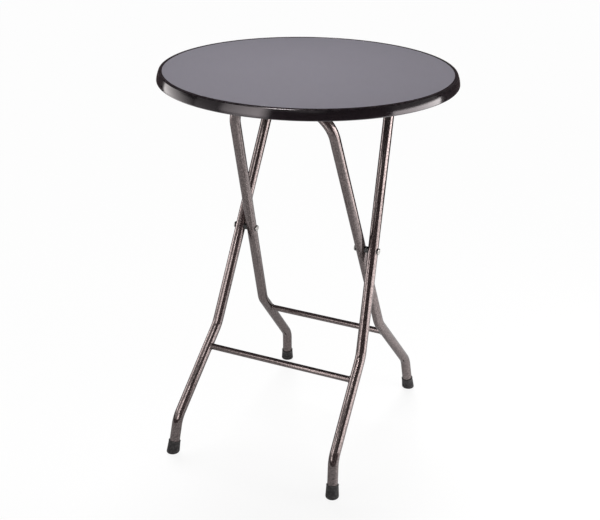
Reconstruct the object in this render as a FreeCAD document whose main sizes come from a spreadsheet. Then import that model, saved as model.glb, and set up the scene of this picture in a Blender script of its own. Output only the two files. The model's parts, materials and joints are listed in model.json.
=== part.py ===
import FreeCAD, Part
import math
import os
import Sketcher

# Folding bar table: a round top on two bent-tube frames that cross at a bolted pivot. Millimetres, degrees.
# The origin is on the floor under the middle of the top. X runs along the pivot, Y to the back, Z up.
# The outer frame has its feet at the front and carries the top's hinge at the back.
# The inner frame has its feet at the back, and its top bar rests in a hook under the front of the top.

SIZES = {
    # Top: floor to surface, and the layers from the surface down
    "top_height": 1100,
    "surface_radius": 398,
    "laminate_thickness": 1,
    "core_thickness": 25,
    "backing_thickness": 1,
    # Rim round the board: its wall draws in towards the top, and its tongue sits in a groove of the board
    "rim_width": 17,
    "rim_draft": 7.5,
    "rim_drop": 1,
    "rim_top_round": 5,
    "rim_bottom_round": 3.5,
    "tongue_thickness": 4,
    "tongue_depth": 10,
    "glue_gap": 0.1,
    # Frames: tube, and the legs' heights and angles from the vertical
    "tube_diameter": 30,
    "tube_wall": 1.5,
    "pivot_height": 604,
    "leg_lean": 22,
    "leg_spread": 4.2,
    "knee_height": 324,
    "shin_lean": 44,
    "ankle_height": 107,
    "foot_lean": 10.3,
    # Frames: bend radii on the tube's middle line, straight part of the inner top bar, room between the legs
    "corner_radius": 110,
    "knee_radius": 80,
    "ankle_radius": 70,
    "inner_bar_straight": 78,
    "leg_gap": 7,
    # Crossbars low on the frames
    "crossbar_diameter": 18,
    "crossbar_wall": 1.5,
    "crossbar_height": 273,
    # Foot caps
    "foot_cap_height": 38,
    "foot_cap_wall": 2,
    "foot_cap_flare": 2.2,
    "foot_cap_round": 0.8,
    "foot_sole": 8,
    "foot_sole_round": 5,
    "foot_clearance": 0.1,
    # Pivot: bolts, sleeve nuts that reach into the inner legs, and saddle washers
    "bolt_diameter": 8,
    "bolt_head_diameter": 19,
    "bolt_head_height": 3.2,
    "bolt_head_round": 2.8,
    "nut_diameter": 18,
    "nut_height": 3.2,
    "nut_end_wall": 1.8,
    "nut_round": 2.8,
    "sleeve_diameter": 11,
    "sleeve_length": 20,
    "washer_diameter": 18,
    "washer_crown": 1,
    "pivot_clearance": 0.08,
    "pivot_play": 0.3,
    "seat_gap": 0.2,
    # Hinge on the outer top bar
    "hinge_spacing": 104,
    "liner_thickness": 2,
    "liner_length": 28,
    "liner_clearance": 0.08,
    "strap_width": 24,
    "strap_thickness": 2,
    "strap_flange": 16,
    "strap_gap": 0.1,
    # Hook and pad for the inner top bar
    "hook_width": 40,
    "hook_thickness": 3,
    "hook_flange": 20,
    "hook_gap": 0.5,
    "hook_wrap": 22,
    "hook_screw_spacing": 24,
    "pad_length": 36,
    "pad_width": 14,
    "pad_gap": 0.3,
    "pad_round": 3,
    # Screws into the board
    "screw_diameter": 4,
    "screw_length": 20,
    "screw_tip": 4,
    "screw_head_diameter": 8,
    "screw_head_height": 2.6,
    "screw_head_round": 1.6,
    "screw_clearance": 0.1,
}

doc = FreeCAD.newDocument("bar_table")
sheet = doc.addObject("Spreadsheet::Sheet", "Size")
for row, (word, number) in enumerate(SIZES.items(), start=1):
    sheet.set(f"A{row}", word)
    sheet.set(f"B{row}", str(number))
    sheet.setAlias(f"B{row}", word)
doc.recompute()

# Lengths that several pieces share, as expressions of the sheet
TUBE_RADIUS = "(Size.tube_diameter / 2)"
UNDERSIDE = "(Size.top_height - Size.laminate_thickness - Size.core_thickness - Size.backing_thickness)"
CORE_BOTTOM = f"({UNDERSIDE} + Size.backing_thickness)"
CORE_TOP = "(Size.top_height - Size.laminate_thickness)"
CORE_MIDDLE = f"({CORE_BOTTOM} + Size.core_thickness / 2)"
LINER_RADIUS = f"({TUBE_RADIUS} + Size.liner_thickness)"
STRAP_INSIDE = f"({LINER_RADIUS} + Size.strap_gap)"
STRAP_OUTSIDE = f"({STRAP_INSIDE} + Size.strap_thickness)"
HOOK_INSIDE = f"({TUBE_RADIUS} + Size.hook_gap)"
HOOK_OUTSIDE = f"({HOOK_INSIDE} + Size.hook_thickness)"
BAR_DROP = STRAP_INSIDE
BAR_HEIGHT = f"({UNDERSIDE} - {BAR_DROP})"
BAR_REACH = f"(tan(Size.leg_lean) * ({BAR_HEIGHT} - Size.pivot_height))"
BOLT_HOLE_RADIUS = "(Size.bolt_diameter / 2 + Size.pivot_clearance)"
SLEEVE_HOLE_RADIUS = "(Size.sleeve_diameter / 2 + Size.pivot_clearance)"
SCREW_HOLE_RADIUS = "(Size.screw_diameter / 2 + Size.screw_clearance)"
CORNER_COSINE = "(tan(Size.leg_spread) / sqrt(1 + tan(Size.leg_spread)^2 + tan(Size.leg_lean)^2))"
CORNER_REACH = f"(Size.corner_radius * sqrt((1 - {CORNER_COSINE}) / (1 + {CORNER_COSINE})))"
BAR_TO_PIVOT = f"({BAR_HEIGHT} - Size.pivot_height)"
INNER_HALF = f"(Size.inner_bar_straight / 2 + {CORNER_REACH} + tan(Size.leg_spread) * {BAR_TO_PIVOT})"
OUTER_HALF = f"({INNER_HALF} + Size.tube_diameter + Size.leg_gap)"
STRAP_SCREW_REACH = f"({STRAP_OUTSIDE} + Size.strap_flange / 2)"
HOOK_SCREW_REACH = f"({HOOK_OUTSIDE} + Size.hook_flange / 2)"

LEFT = -1
RIGHT = 1
SIDE_NAMES = {LEFT: "left", RIGHT: "right"}
X_AXIS = FreeCAD.Vector(1, 0, 0)
Z_AXIS = FreeCAD.Vector(0, 0, 1)

# Largest share of a face that a rounding takes, and how near two lengths or volumes count as the same
ROUND_SHARE = 0.9
SAME_LENGTH = 1e-6
SAME_VOLUME = 0.01

nodes = []


def size(expression):
    """Number that an expression of the sheet gives."""
    return float(sheet.evalExpression(expression))


def node(feature, label):
    """Name a finished sub-part and keep it for writing."""
    feature.Label = label
    nodes.append(feature)
    return feature


def limited(radius, face):
    """Radius of a rounding, kept within the face that it rounds."""
    return f"min({radius}; {ROUND_SHARE} * ({face}))"


def check_volume(name, volume, expected):
    """Stop where a piece doesn't have the volume that its sizes give."""
    if abs(volume - expected) > SAME_VOLUME * expected:
        raise ValueError(f"{name}: {volume:.1f} mm3 instead of {expected:.1f} mm3")


def bind(feature, **expressions):
    """Tie properties of a feature to expressions of the sheet."""
    for name, expression in expressions.items():
        feature.setExpression(name, expression)
    return feature


def place(feature, x="0", y="0", z="0", rotation=None):
    """Turn a feature and tie its place to expressions of the sheet."""
    if rotation is not None:
        feature.Placement = FreeCAD.Placement(FreeCAD.Vector(), rotation)
    for axis, expression in zip("xyz", (x, y, z)):
        feature.setExpression(f".Placement.Base.{axis}", expression)
    return feature


def attach(body, sketch, role):
    """Lay a sketch on one of its own body's origin planes."""
    planes = [plane for plane in body.Origin.OriginFeatures if plane.Role == role]
    sketch.AttachmentSupport = [(planes[0], "")]
    sketch.MapMode = "FlatFace"


def hold(sketch, kind, geometry, point, expression):
    """Hold a point of a sketch at a distance from the sketch's origin."""
    number = sketch.addConstraint(Sketcher.Constraint(kind, -1, 1, geometry, point, size(expression)))
    sketch.setExpression(f"Constraints[{number}]", expression)


def draw_outline(body, role, corners):
    """Closed sketch through corners; a third entry rounds the way to the next corner about the origin.

    The entry is 1 where that arc runs anticlockwise and -1 where it runs clockwise.
    """
    sketch = body.newObject("Sketcher::SketchObject", f"{body.Name}_outline")
    attach(body, sketch, role)
    spots = [FreeCAD.Vector(size(corner[0]), size(corner[1]), 0) for corner in corners]
    ends = []
    for index, corner in enumerate(corners):
        start = spots[index]
        stop = spots[(index + 1) % len(spots)]
        if len(corner) == 2:
            sketch.addGeometry(Part.LineSegment(start, stop))
            ends.append((1, 2))
            continue
        first, last = (start, stop) if corner[2] > 0 else (stop, start)
        angles = [math.atan2(spot.y, spot.x) % (2 * math.pi) for spot in (first, last)]
        if angles[1] <= angles[0]:
            angles[1] += 2 * math.pi
        circle = Part.Circle(FreeCAD.Vector(), Z_AXIS, first.Length)
        number = sketch.addGeometry(Part.ArcOfCircle(circle, angles[0], angles[1]))
        sketch.addConstraint(Sketcher.Constraint("PointOnObject", number, 3, -1))
        ends.append((1, 2) if corner[2] > 0 else (2, 1))
    for index, corner in enumerate(corners):
        after = (index + 1) % len(corners)
        sketch.addConstraint(Sketcher.Constraint("Coincident", index, ends[index][1], after, ends[after][0]))
        hold(sketch, "DistanceX", index, ends[index][0], corner[0])
        hold(sketch, "DistanceY", index, ends[index][0], corner[1])
    return sketch


def round_edge(body, feature, radius, corner):
    """Round the circular edge that a corner of a turned outline sweeps."""
    doc.recompute()
    reach = size(corner[0])
    height = size(corner[1])
    names = []
    for index, edge in enumerate(feature.Shape.Edges, start=1):
        curve = edge.Curve
        if isinstance(curve, Part.Circle) and abs(curve.Radius - reach) < SAME_LENGTH:
            if abs(curve.Center.z - height) < SAME_LENGTH:
                names.append(f"Edge{index}")
    fillet = body.newObject("PartDesign::Fillet", f"{body.Name}_round")
    fillet.Base = (feature, names)
    return bind(fillet, Radius=radius)


def turned(name, corners, rounds=()):
    """Body turned about its Z axis from (radius, height) corners; rounds are (corner number, radius)."""
    body = doc.addObject("PartDesign::Body", name)
    outline = draw_outline(body, "XZ_Plane", corners)
    feature = body.newObject("PartDesign::Revolution", f"{name}_turn")
    feature.Profile = outline
    feature.ReferenceAxis = (outline, ["V_Axis"])
    feature.Angle = 360
    for number, radius in rounds:
        feature = round_edge(body, feature, radius, corners[number])
    return body


def pressed(name, corners, width):
    """Strip of sheet metal: an outline in the YZ plane, padded to both sides along X."""
    body = doc.addObject("PartDesign::Body", name)
    outline = draw_outline(body, "YZ_Plane", corners)
    pad = body.newObject("PartDesign::Pad", f"{name}_pad")
    pad.Profile = outline
    pad.SideType = "Symmetric"
    bind(pad, Length=width)
    return body


def drill(body, spots, radius, start, depth):
    """Holes that run upwards from a height in the body, at (x, y) spots."""
    sketch = body.newObject("Sketcher::SketchObject", f"{body.Name}_holes")
    attach(body, sketch, "XY_Plane")
    sketch.setExpression("AttachmentOffset.Base.z", start)
    for x, y in spots:
        centre = FreeCAD.Vector(size(x), size(y), 0)
        number = sketch.addGeometry(Part.Circle(centre, Z_AXIS, size(radius)))
        hold(sketch, "DistanceX", number, 3, x)
        hold(sketch, "DistanceY", number, 3, y)
        constraint = sketch.addConstraint(Sketcher.Constraint("Radius", number, size(radius)))
        sketch.setExpression(f"Constraints[{constraint}]", radius)
    pocket = body.newObject("PartDesign::Pocket", f"{body.Name}_drilled")
    pocket.Profile = sketch
    pocket.Reversed = True
    bind(pocket, Length=depth)
    doc.recompute()
    expected = len(spots) * math.pi * size(radius) ** 2 * size(depth)
    check_volume(f"{body.Name} holes", pocket.BaseFeature.Shape.Volume - pocket.Shape.Volume, expected)


def rod(name, radius, length, x, y, z):
    """Round bar along X from a starting point."""
    bar = bind(doc.addObject("Part::Cylinder", name), Radius=radius, Height=length)
    return place(bar, x, y, z, FreeCAD.Rotation(Z_AXIS, X_AXIS))


def cut(name, base, tool):
    """One piece less another."""
    feature = doc.addObject("Part::Cut", name)
    feature.Base = base
    feature.Tool = tool
    return feature


def is_upright(edge):
    """Whether an edge runs along Z."""
    return edge.tangentAt(edge.FirstParameter).cross(Z_AXIS).Length < SAME_LENGTH


def is_on_floor(edge):
    """Whether an edge lies on the floor, from its start, middle and end."""
    return all(abs(point.z) < SAME_LENGTH for point in edge.discretize(3))


def rounded(name, blank, chosen, radius):
    """Copy of a piece with the edges that a test picks rounded."""
    doc.recompute()
    reach = size(radius)
    feature = doc.addObject("Part::Fillet", name)
    feature.Base = blank
    numbers = [number for number, edge in enumerate(blank.Shape.Edges, start=1) if chosen(edge)]
    feature.Edges = [(number, reach, reach) for number in numbers]
    return feature


def group(label, pieces):
    """Like pieces kept together as one sub-part of separate solids."""
    bundle = doc.addObject("Part::Compound", label)
    bundle.Links = pieces
    return node(bundle, label)


# Screw places under the top, as (x, y) expressions
hinge_spots = []
for side in (LEFT, RIGHT):
    for way in (-1, 1):
        across = f"{side} * Size.hinge_spacing / 2"
        hinge_spots.append((across, f"{BAR_REACH} + {way} * {STRAP_SCREW_REACH}"))
hook_spots = []
for side in (LEFT, RIGHT):
    hook_spots.append((f"{side} * Size.hook_screw_spacing / 2", f"-{BAR_REACH} - {HOOK_SCREW_REACH}"))


def build_top():
    """Board, its two facings and the rim."""
    edge = "Size.surface_radius"
    node(turned("surface_laminate", [
        ("0", CORE_TOP),
        (edge, CORE_TOP),
        (edge, "Size.top_height"),
        ("0", "Size.top_height"),
    ]), "surface_laminate")

    groove_floor = f"{edge} - Size.tongue_depth - Size.glue_gap"
    groove_half = "(Size.tongue_thickness / 2 + Size.glue_gap)"
    core = turned("core_board", [
        ("0", CORE_BOTTOM),
        (edge, CORE_BOTTOM),
        (edge, f"{CORE_MIDDLE} - {groove_half}"),
        (groove_floor, f"{CORE_MIDDLE} - {groove_half}"),
        (groove_floor, f"{CORE_MIDDLE} + {groove_half}"),
        (edge, f"{CORE_MIDDLE} + {groove_half}"),
        (edge, CORE_TOP),
        ("0", CORE_TOP),
    ])
    strap_bite = "Size.screw_length - Size.strap_thickness - Size.backing_thickness + Size.screw_clearance"
    hook_bite = "Size.screw_length - Size.hook_thickness - Size.backing_thickness + Size.screw_clearance"
    drill(core, hinge_spots, SCREW_HOLE_RADIUS, CORE_BOTTOM, strap_bite)
    drill(core, hook_spots, SCREW_HOLE_RADIUS, CORE_BOTTOM, hook_bite)
    node(core, "core_board")

    backing = turned("backing_sheet", [
        ("0", UNDERSIDE),
        (edge, UNDERSIDE),
        (edge, CORE_BOTTOM),
        ("0", CORE_BOTTOM),
    ])
    drill(backing, hinge_spots + hook_spots, SCREW_HOLE_RADIUS, UNDERSIDE, "Size.backing_thickness")
    node(backing, "backing_sheet")

    inner = f"({edge} + Size.glue_gap)"
    outer = f"({edge} + Size.rim_width)"
    crest = f"({outer} - Size.rim_draft)"
    rim_bottom = f"{UNDERSIDE} - Size.rim_drop"
    tongue_tip = f"{edge} - Size.tongue_depth"
    node(turned("edge_rim", [
        (inner, rim_bottom),
        (outer, rim_bottom),
        (crest, "Size.top_height"),
        (inner, "Size.top_height"),
        (inner, f"{CORE_MIDDLE} + Size.tongue_thickness / 2"),
        (tongue_tip, f"{CORE_MIDDLE} + Size.tongue_thickness / 2"),
        (tongue_tip, f"{CORE_MIDDLE} - Size.tongue_thickness / 2"),
        (inner, f"{CORE_MIDDLE} - Size.tongue_thickness / 2"),
    ], [
        (1, limited("Size.rim_bottom_round", "Size.rim_width / 2")),
        (2, limited("Size.rim_top_round", "Size.rim_width - Size.rim_draft")),
    ]), "edge_rim")


def build_screws(label, spots, seat):
    """Pan-head screws driven upwards, with their heads under a flange of the given thickness."""
    shank = "Size.screw_diameter / 2"
    head = "Size.screw_head_diameter / 2"
    screws = []
    for number, (x, y) in enumerate(spots, start=1):
        screw = turned(f"{label}_{number}", [
            ("0", "-Size.screw_head_height"),
            (head, "-Size.screw_head_height"),
            (head, "0"),
            (shank, "0"),
            (shank, "Size.screw_length - Size.screw_tip"),
            ("0", "Size.screw_length"),
        ], [(1, limited("Size.screw_head_round", "Size.screw_head_height"))])
        screws.append(place(screw, x, y, f"{UNDERSIDE} - {seat}"))
    group(label, screws)


def build_hinge():
    """Straps and bearing sleeves that hold the outer top bar under the board."""
    flange_end = f"({STRAP_OUTSIDE} + Size.strap_flange)"
    flange_under = f"({BAR_DROP} - Size.strap_thickness)"
    for side, side_name in SIDE_NAMES.items():
        middle = f"{side} * Size.hinge_spacing / 2"
        strap = pressed(f"hinge_strap_{side_name}", [
            (f"-{flange_end}", BAR_DROP),
            (f"-{flange_end}", flange_under),
            (f"-{STRAP_OUTSIDE}", flange_under),
            (f"-{STRAP_OUTSIDE}", "0", 1),
            (STRAP_OUTSIDE, "0"),
            (STRAP_OUTSIDE, flange_under),
            (flange_end, flange_under),
            (flange_end, BAR_DROP),
            (STRAP_INSIDE, BAR_DROP),
            (STRAP_INSIDE, "0", -1),
            (f"-{STRAP_INSIDE}", "0"),
            (f"-{STRAP_INSIDE}", BAR_DROP),
        ], "Size.strap_width")
        holes = [("0", f"-{STRAP_SCREW_REACH}"), ("0", STRAP_SCREW_REACH)]
        drill(strap, holes, SCREW_HOLE_RADIUS, flange_under, "Size.strap_thickness")
        node(place(strap, middle, BAR_REACH, BAR_HEIGHT), f"hinge_strap_{side_name}")

        start = (f"{middle} - Size.liner_length / 2", BAR_REACH, BAR_HEIGHT)
        bore_radius = f"{TUBE_RADIUS} + Size.liner_clearance"
        sleeve = rod(f"liner_blank_{side_name}", LINER_RADIUS, "Size.liner_length", *start)
        bore = rod(f"liner_bore_{side_name}", bore_radius, "Size.liner_length", *start)
        node(cut(f"liner_{side_name}", sleeve, bore), f"hinge_liner_{side_name}")
    build_screws("hinge_screws", hinge_spots, "Size.strap_thickness")


def build_catch():
    """Hook in front of the inner top bar, and the pad above it."""
    flange_end = f"({HOOK_OUTSIDE} + Size.hook_flange)"
    flange_under = f"({BAR_DROP} - Size.hook_thickness)"
    across = "cos(Size.hook_wrap)"
    down = "sin(Size.hook_wrap)"
    hook = pressed("catch_hook", [
        (f"-{flange_end}", BAR_DROP),
        (f"-{flange_end}", flange_under),
        (f"-{HOOK_OUTSIDE}", flange_under),
        (f"-{HOOK_OUTSIDE}", "0", 1),
        (f"-{HOOK_OUTSIDE} * {across}", f"-{HOOK_OUTSIDE} * {down}"),
        (f"-{HOOK_INSIDE} * {across}", f"-{HOOK_INSIDE} * {down}", -1),
        (f"-{HOOK_INSIDE}", "0"),
        (f"-{HOOK_INSIDE}", BAR_DROP),
    ], "Size.hook_width")
    holes = [(f"{side} * Size.hook_screw_spacing / 2", f"-{HOOK_SCREW_REACH}") for side in (LEFT, RIGHT)]
    drill(hook, holes, SCREW_HOLE_RADIUS, flange_under, "Size.hook_thickness")
    node(place(hook, "0", f"-{BAR_REACH}", BAR_HEIGHT), "catch_hook")

    thickness = f"({BAR_DROP} - {TUBE_RADIUS} - Size.pad_gap)"
    blank = bind(doc.addObject("Part::Box", "pad_blank"),
                 Length="Size.pad_length", Width="Size.pad_width", Height=thickness)
    place(blank, "-Size.pad_length / 2", f"-{BAR_REACH} - Size.pad_width / 2", f"{UNDERSIDE} - {thickness}")
    node(rounded("pad", blank, is_upright, limited("Size.pad_round", "Size.pad_width / 2")), "catch_pad")
    build_screws("catch_screws", hook_spots, "Size.hook_thickness")


# The hole in the wall that faces the table's middle takes the bolt, or the nut's sleeve round it
FRAMES = (
    {"name": "outer", "half_width": OUTER_HALF, "facing": 1, "inward_hole": BOLT_HOLE_RADIUS},
    {"name": "inner", "half_width": INNER_HALF, "facing": -1, "inward_hole": SLEEVE_HOLE_RADIUS},
)


def lean_offset(height):
    """How far back of the pivot a leg's middle line is at a height, on the frame with its feet in front."""
    pivot = size("Size.pivot_height")
    knee = size("Size.knee_height")
    ankle = size("Size.ankle_height")
    if height >= knee:
        return size("tan(Size.leg_lean)") * (height - pivot)
    at_knee = size("tan(Size.leg_lean)") * (knee - pivot)
    if height >= ankle:
        return at_knee - size("tan(Size.shin_lean)") * (knee - height)
    at_ankle = at_knee - size("tan(Size.shin_lean)") * (knee - ankle)
    return at_ankle - size("tan(Size.foot_lean)") * (ankle - height)


def leg_point(frame, side, height):
    """Point on the middle line of a leg, before its corners are bent round."""
    spread = size("tan(Size.leg_spread)") * (size("Size.pivot_height") - height)
    across = side * (size(frame["half_width"]) + spread)
    return FreeCAD.Vector(across, frame["facing"] * lean_offset(height), height)


def bent_path(points, radii):
    """Wire of straight runs through points, with an arc of its own radius at each inner point."""
    edges = []
    start = points[0]
    for corner, radius, after in zip(points[1:-1], radii, points[2:]):
        back = (start - corner).normalize()
        onward = (after - corner).normalize()
        half_turn = (math.pi - back.getAngle(onward)) / 2
        reach = radius * math.tan(half_turn)
        first = corner + back * reach
        last = corner + onward * reach
        crown = corner + (back + onward).normalize() * (radius / math.cos(half_turn) - radius)
        edges.append(Part.LineSegment(start, first).toShape())
        edges.append(Part.Arc(first, crown, last).toShape())
        start = last
    edges.append(Part.LineSegment(start, points[-1]).toShape())
    return Part.Wire(edges)


def swept(path, radius):
    """Round solid along a path."""
    run = path.Edges[0]
    start = run.valueAt(run.FirstParameter)
    circle = Part.makeCircle(radius, start, run.tangentAt(run.FirstParameter))
    return path.makePipe(Part.Face(Part.Wire(circle)))


def tube_path(frame):
    """Middle line of a frame's tube, from its left foot over the top bar to its right foot."""
    heights = ("Size.foot_sole", "Size.ankle_height", "Size.knee_height", BAR_HEIGHT)
    bends = ("Size.ankle_radius", "Size.knee_radius", "Size.corner_radius")
    points = [leg_point(frame, LEFT, size(height)) for height in heights]
    points += [leg_point(frame, RIGHT, size(height)) for height in reversed(heights)]
    return bent_path(points, [size(radius) for radius in bends + bends[::-1]])


def build_tube(frame, path):
    """Bent tube of a frame, drilled through both walls of each leg for the pivot."""
    radius = size(TUBE_RADIUS)
    bore = radius - size("Size.tube_wall")
    tube = swept(path, radius).cut(swept(path, bore))
    section = math.pi * (radius ** 2 - bore ** 2)
    check_volume(f"{frame['name']} tube", tube.Volume, section * path.Length)
    reach = size("Size.tube_diameter")
    for side in (LEFT, RIGHT):
        middle = leg_point(frame, side, size("Size.pivot_height"))
        for way, hole in ((side, BOLT_HOLE_RADIUS), (-side, frame["inward_hole"])):
            tube = tube.cut(Part.makeCylinder(size(hole), reach, middle, X_AXIS * way))
    feature = doc.addObject("Part::Feature", f"{frame['name']}_tube")
    feature.Shape = tube
    node(feature, f"{frame['name']}_frame_tube")


def build_seat_room(frame, path):
    """Space that a frame's tube needs, with a little room for what is seated on it."""
    feature = doc.addObject("Part::Feature", f"{frame['name']}_seat_room")
    feature.Shape = swept(path, size(TUBE_RADIUS) + size("Size.seat_gap"))
    return feature


def build_crossbar(frame, room):
    """Thin tube between the shins, hollowed at its ends to the legs' round."""
    name = frame["name"]
    start = leg_point(frame, LEFT, size("Size.crossbar_height"))
    spread = "tan(Size.leg_spread) * (Size.pivot_height - Size.crossbar_height)"
    length = f"2 * ({frame['half_width']} + {spread})"
    solid = bind(doc.addObject("Part::Cylinder", f"{name}_crossbar_blank"),
                 Radius="Size.crossbar_diameter / 2", Height=length)
    bore = bind(doc.addObject("Part::Cylinder", f"{name}_crossbar_bore"),
                Radius="Size.crossbar_diameter / 2 - Size.crossbar_wall", Height=length)
    for bar in (solid, bore):
        bar.Placement = FreeCAD.Placement(start, FreeCAD.Rotation(Z_AXIS, X_AXIS))
    hollow = cut(f"{name}_crossbar_hollow", solid, bore)
    node(cut(f"{name}_crossbar_fitted", hollow, room), f"{name}_crossbar")


def build_foot(frame, side):
    """Flared rubber cap on the end of a leg, cut flat on the floor with a rounded sole."""
    name = f"{frame['name']}_foot_{SIDE_NAMES[side]}"
    mouth = f"({TUBE_RADIUS} + Size.foot_cap_wall)"
    base = f"({mouth} + Size.foot_cap_flare * (1 + {mouth} / Size.foot_cap_height))"
    bore = f"({TUBE_RADIUS} + Size.foot_clearance)"
    seat = "Size.foot_sole * sqrt(1 + tan(Size.leg_spread)^2 + tan(Size.foot_lean)^2)"
    blank = turned(f"{name}_blank", [
        ("0", f"-{mouth}"),
        (base, f"-{mouth}"),
        (mouth, "Size.foot_cap_height"),
        (bore, "Size.foot_cap_height"),
        (bore, seat),
        ("0", seat),
    ], [(2, limited("Size.foot_cap_round", "Size.foot_cap_wall / 2"))])
    on_floor = leg_point(frame, side, 0)
    along = leg_point(frame, side, size("Size.ankle_height")) - on_floor
    blank.Placement = FreeCAD.Placement(on_floor, FreeCAD.Rotation(Z_AXIS, along))
    block = f"4 * {base}"
    floor = bind(doc.addObject("Part::Box", f"{name}_floor"), Length=block, Width=block, Height=block)
    corner = on_floor - FreeCAD.Vector(0.5, 0.5, 1) * size(block)
    floor.Placement = FreeCAD.Placement(corner, FreeCAD.Rotation())
    trimmed = cut(f"{name}_trimmed", blank, floor)
    sole_round = limited("Size.foot_sole_round", "Size.foot_sole")
    node(rounded(f"{name}_cap", trimmed, is_on_floor, sole_round), name)


def build_washers(frame, room):
    """Washers on both sides of both legs, flat towards the bolt's head, the nut or the other frame."""
    crown = f"({TUBE_RADIUS} + Size.washer_crown)"
    between = f"({TUBE_RADIUS} + (Size.leg_gap - Size.pivot_play) / 2)"
    outward, inward = (crown, between) if frame["name"] == "outer" else (between, crown)
    washers = []
    for side, side_name in SIDE_NAMES.items():
        middle = f"{side} * {frame['half_width']}"
        ways = ((side, outward, BOLT_HOLE_RADIUS, "out"), (-side, inward, frame["inward_hole"], "in"))
        for way, reach, hole_radius, way_name in ways:
            name = f"{frame['name']}_washer_{side_name}_{way_name}"
            start = middle if way > 0 else f"{middle} - {reach}"
            spot = (start, "0", "Size.pivot_height")
            disc = rod(f"{name}_disc", "Size.washer_diameter / 2", reach, *spot)
            hole = rod(f"{name}_hole", hole_radius, reach, *spot)
            ring = cut(f"{name}_ring", disc, hole)
            washers.append(cut(name, ring, room))
    group(f"{frame['name']}_saddle_washers", washers)


def build_pivot_fasteners():
    """Low-headed bolts from the outside through both legs, and sleeve nuts on them from the inside."""
    shank = "Size.bolt_diameter / 2"
    head = "Size.bolt_head_diameter / 2"
    nut_depth = "(Size.nut_height - Size.nut_end_wall)"
    length = f"(2 * Size.tube_diameter + Size.leg_gap + 2 * Size.washer_crown + {nut_depth})"
    thread = f"({shank} + Size.pivot_clearance)"
    body = "Size.nut_diameter / 2"
    sleeve = "Size.sleeve_diameter / 2"
    for side, side_name in SIDE_NAMES.items():
        bolt = turned(f"bolt_{side_name}", [
            ("0", f"-{length}"),
            (shank, f"-{length}"),
            (shank, "0"),
            (head, "0"),
            (head, "Size.bolt_head_height"),
            ("0", "Size.bolt_head_height"),
        ], [(4, limited("Size.bolt_head_round", "Size.bolt_head_height"))])
        seat = f"{side} * ({OUTER_HALF} + {TUBE_RADIUS} + Size.washer_crown)"
        place(bolt, seat, "0", "Size.pivot_height", FreeCAD.Rotation(Z_AXIS, X_AXIS * side))
        node(bolt, f"pivot_bolt_{side_name}")

        nut = turned(f"nut_{side_name}", [
            (thread, "-Size.sleeve_length"),
            (sleeve, "-Size.sleeve_length"),
            (sleeve, "0"),
            (body, "0"),
            (body, "Size.nut_height"),
            ("0", "Size.nut_height"),
            ("0", nut_depth),
            (thread, nut_depth),
        ], [(4, limited("Size.nut_round", "Size.nut_height"))])
        seat = f"{side} * ({INNER_HALF} - {TUBE_RADIUS} - Size.washer_crown - Size.pivot_play)"
        place(nut, seat, "0", "Size.pivot_height", FreeCAD.Rotation(Z_AXIS, X_AXIS * -side))
        node(nut, f"pivot_nut_{side_name}")


def write_parts():
    """Check every object, then write each sub-part to its own file."""
    doc.recompute()
    for feature in doc.Objects:
        if "Invalid" in feature.State or "Error" in feature.State:
            raise ValueError(f"{feature.Label} failed: {feature.State}")
    for feature in nodes:
        if feature.Shape.isNull() or not feature.Shape.isValid():
            raise ValueError(f"{feature.Label} has no valid shape")
    os.makedirs("parts", exist_ok=True)
    for feature in nodes:
        feature.Shape.exportStep(f"parts/{feature.Label}.step")


build_top()
build_hinge()
build_catch()
for frame in FRAMES:
    path = tube_path(frame)
    room = build_seat_room(frame, path)
    build_tube(frame, path)
    build_crossbar(frame, room)
    build_washers(frame, room)
    for side in (LEFT, RIGHT):
        build_foot(frame, side)
build_pivot_fasteners()
write_parts()
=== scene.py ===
import json
import math

import bmesh
import bpy
from mathutils import Matrix, Vector


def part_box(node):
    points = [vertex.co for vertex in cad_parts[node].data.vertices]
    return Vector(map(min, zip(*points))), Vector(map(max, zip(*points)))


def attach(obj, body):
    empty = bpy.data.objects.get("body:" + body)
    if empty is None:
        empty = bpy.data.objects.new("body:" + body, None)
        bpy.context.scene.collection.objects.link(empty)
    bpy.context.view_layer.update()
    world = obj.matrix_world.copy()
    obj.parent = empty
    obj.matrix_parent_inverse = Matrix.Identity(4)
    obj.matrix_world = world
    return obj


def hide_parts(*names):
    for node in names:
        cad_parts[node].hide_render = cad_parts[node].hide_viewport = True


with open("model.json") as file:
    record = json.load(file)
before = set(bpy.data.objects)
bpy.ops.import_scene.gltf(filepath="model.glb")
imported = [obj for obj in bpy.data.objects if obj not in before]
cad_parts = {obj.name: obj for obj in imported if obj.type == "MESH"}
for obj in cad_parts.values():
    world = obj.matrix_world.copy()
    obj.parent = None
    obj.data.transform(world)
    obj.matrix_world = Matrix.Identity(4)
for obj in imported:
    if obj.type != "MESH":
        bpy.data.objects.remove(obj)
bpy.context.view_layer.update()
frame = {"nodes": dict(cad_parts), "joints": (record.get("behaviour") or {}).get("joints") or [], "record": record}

# Folding bar table: looks of a round top with a black rim on two crossed frames of bent tube. Metres.
# X runs along the pivot, Y to the back, Z up, and the floor is at height 0.

JOINTS = {joint["name"]: joint for joint in frame["joints"]}
MOUNTS = {mount["name"]: mount for mount in frame["record"]["mounts"]}
X_AXIS = Vector((1, 0, 0))
Z_AXIS = Vector((0, 0, 1))
SIDES = {"left": -1, "right": 1}
SQUARE = ((-1, -1), (1, -1), (1, 1), (-1, 1))  # corners, once round
SHARP_EDGE = 40  # edges that turn by more degrees than this stay sharp

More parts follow.
